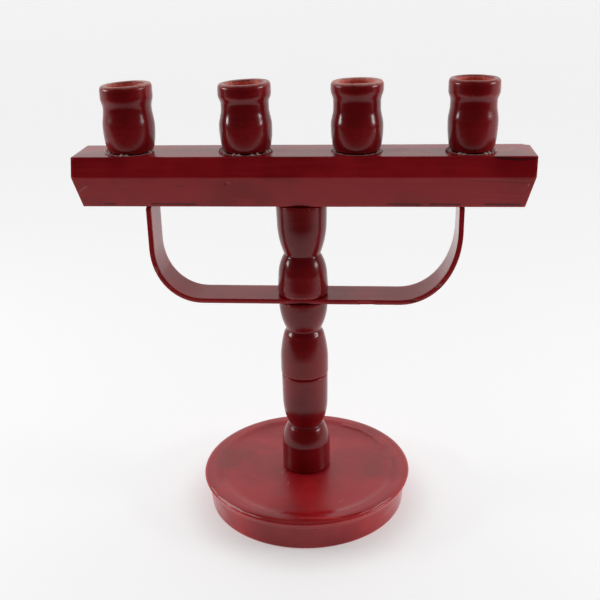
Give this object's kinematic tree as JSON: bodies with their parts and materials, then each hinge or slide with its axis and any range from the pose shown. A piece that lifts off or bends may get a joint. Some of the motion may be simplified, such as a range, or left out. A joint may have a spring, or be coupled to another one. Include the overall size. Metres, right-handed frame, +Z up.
{
  "type": "taper candle holder",
  "caption": "Wooden candelabra: turned dish and post, bent brace, bevelled crossbar and turned cups in a row for taper candles; the upper half lifts off and turns on a peg.",
  "frame": {"origin": "centre of the dish's underside, which is the centre of the bounding box at its bottom", "axes": "+Z up along the post, +X along the crossbar, -Y towards the side that the picture shows"},
  "size_m": [0.2812, 0.1432, 0.2876],
  "materials": {
    "red_paint": "glossy crimson lacquer over turned softwood, worn on the edges",
    "bare_wood": "plain dowel, unfinished"
  },
  "bodies": {
    "foot": {"base_disc": "red_paint", "base_dowel": "bare_wood", "lower_post": "red_paint"},
    "peg": {"post_peg": "bare_wood"},
    "upper_half": {"middle_post": "red_paint", "stem_dowel": "bare_wood", "brace_strip": "red_paint", "upper_post": "red_paint", "crossbar_dowel": "bare_wood", "crossbar": "red_paint", "candle_cup_1": "red_paint", "candle_cup_2": "red_paint", "candle_cup_3": "red_paint", "candle_cup_4": "red_paint", "cup_dowel_1": "bare_wood", "cup_dowel_2": "bare_wood", "cup_dowel_3": "bare_wood", "cup_dowel_4": "bare_wood"}
  },
  "joints": [
    {"name": "lift", "type": "slide", "parent": "foot", "child": "peg", "axis": [0, 0, 1], "range_m": [0, 0.03]},
    {"name": "turn", "type": "hinge", "parent": "peg", "child": "upper_half", "pos_m": [0, 0, 0.0945], "axis": [0, 0, 1], "continuous": true}
  ]
}
